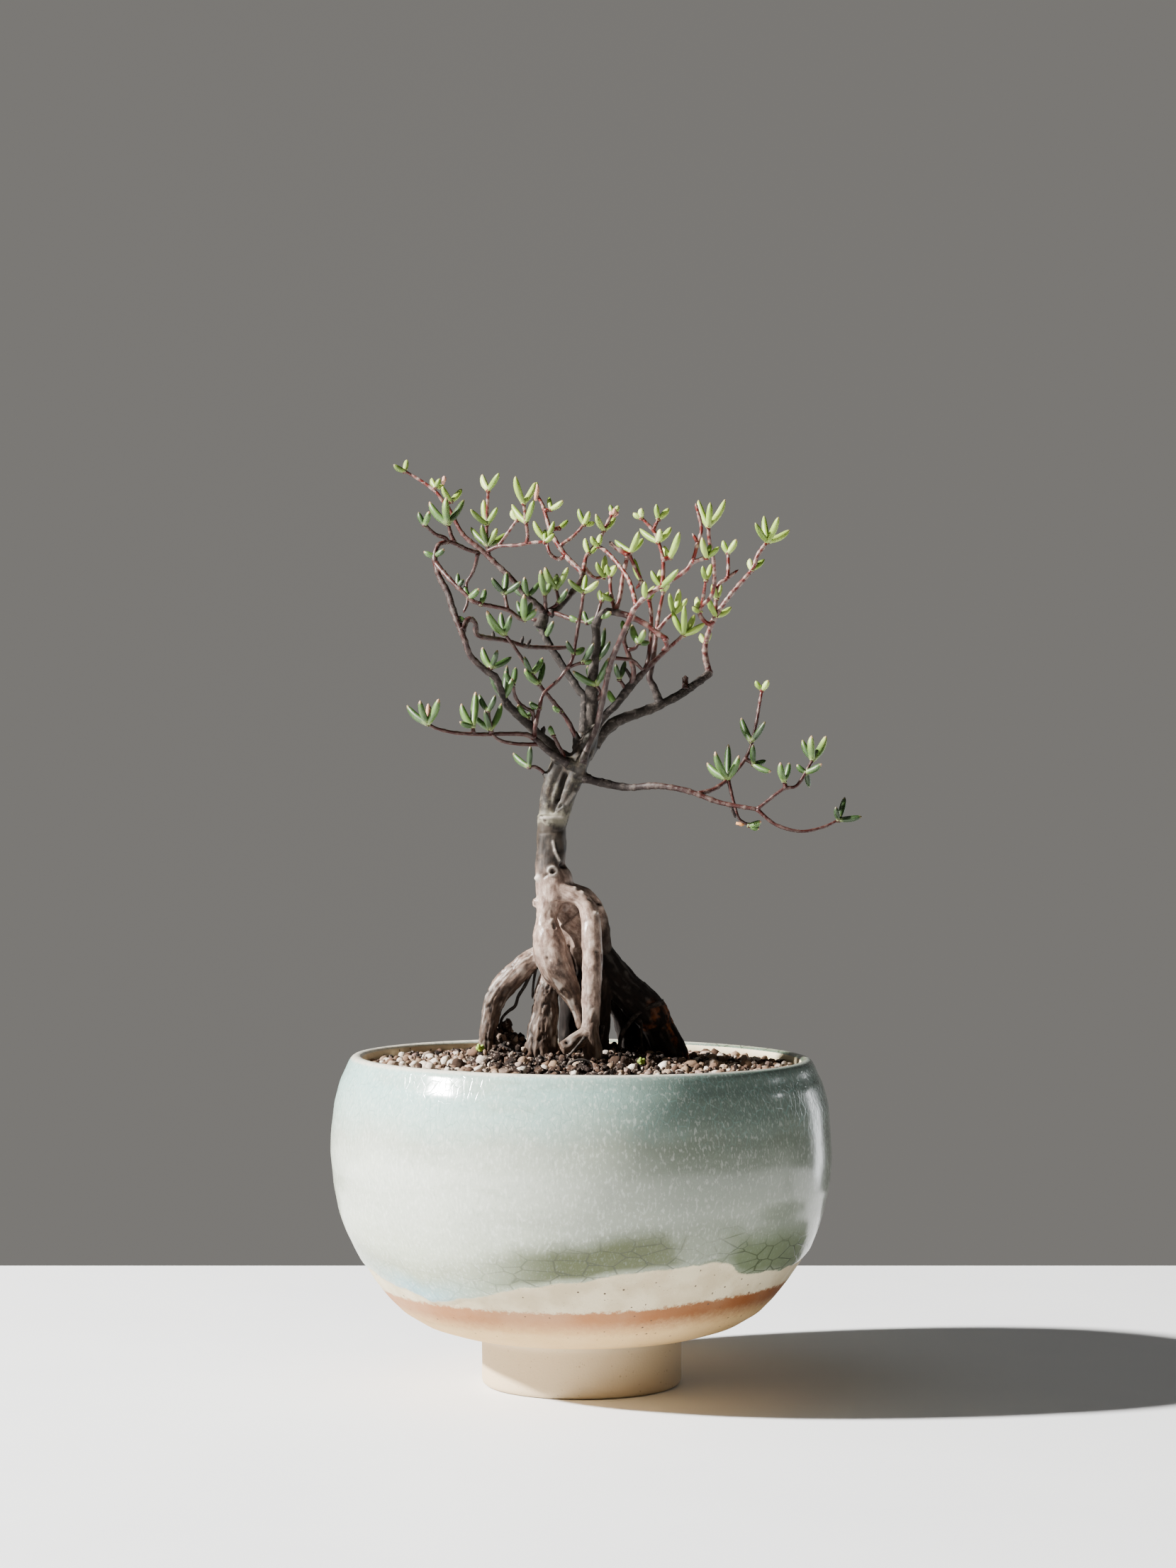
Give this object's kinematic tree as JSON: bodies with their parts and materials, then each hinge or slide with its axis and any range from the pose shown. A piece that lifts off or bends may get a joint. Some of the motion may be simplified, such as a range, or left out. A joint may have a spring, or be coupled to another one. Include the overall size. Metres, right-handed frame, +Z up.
{
  "type": "potted mestoklema",
  "caption": "Small caudex succulent with bare standing roots and a branched leafy crown, growing in a round glazed stoneware pot with a foot ring.",
  "frame": {"origin": "middle of the underside of the whole plant's box, on the surface that the pot stands on", "axes": "+Z up; the side that the picture shows faces -Y; +X to the viewer's right, where the long low branch reaches past the pot"},
  "size_m": [0.1362, 0.13, 0.2417],
  "materials": {
    "glazed_stoneware": "gloss",
    "gravelly_soil": "matte",
    "root_bark": "matte",
    "stems_and_leaves": "satin",
    "plastic_mesh": "matte"
  },
  "bodies": {
    "root": {"pot": "glazed_stoneware", "drain_mesh": "plastic_mesh", "soil": "gravelly_soil", "caudex": "root_bark", "limb_far_left": "stems_and_leaves", "limb_knot": "stems_and_leaves", "limb_low_left": "stems_and_leaves", "shoot_left": "stems_and_leaves", "shoot_trunk": "stems_and_leaves", "limb_centre": "stems_and_leaves", "limb_front": "stems_and_leaves", "limb_inner": "stems_and_leaves", "limb_right": "stems_and_leaves", "limb_low_right": "stems_and_leaves"}
  },
  "joints": []
}
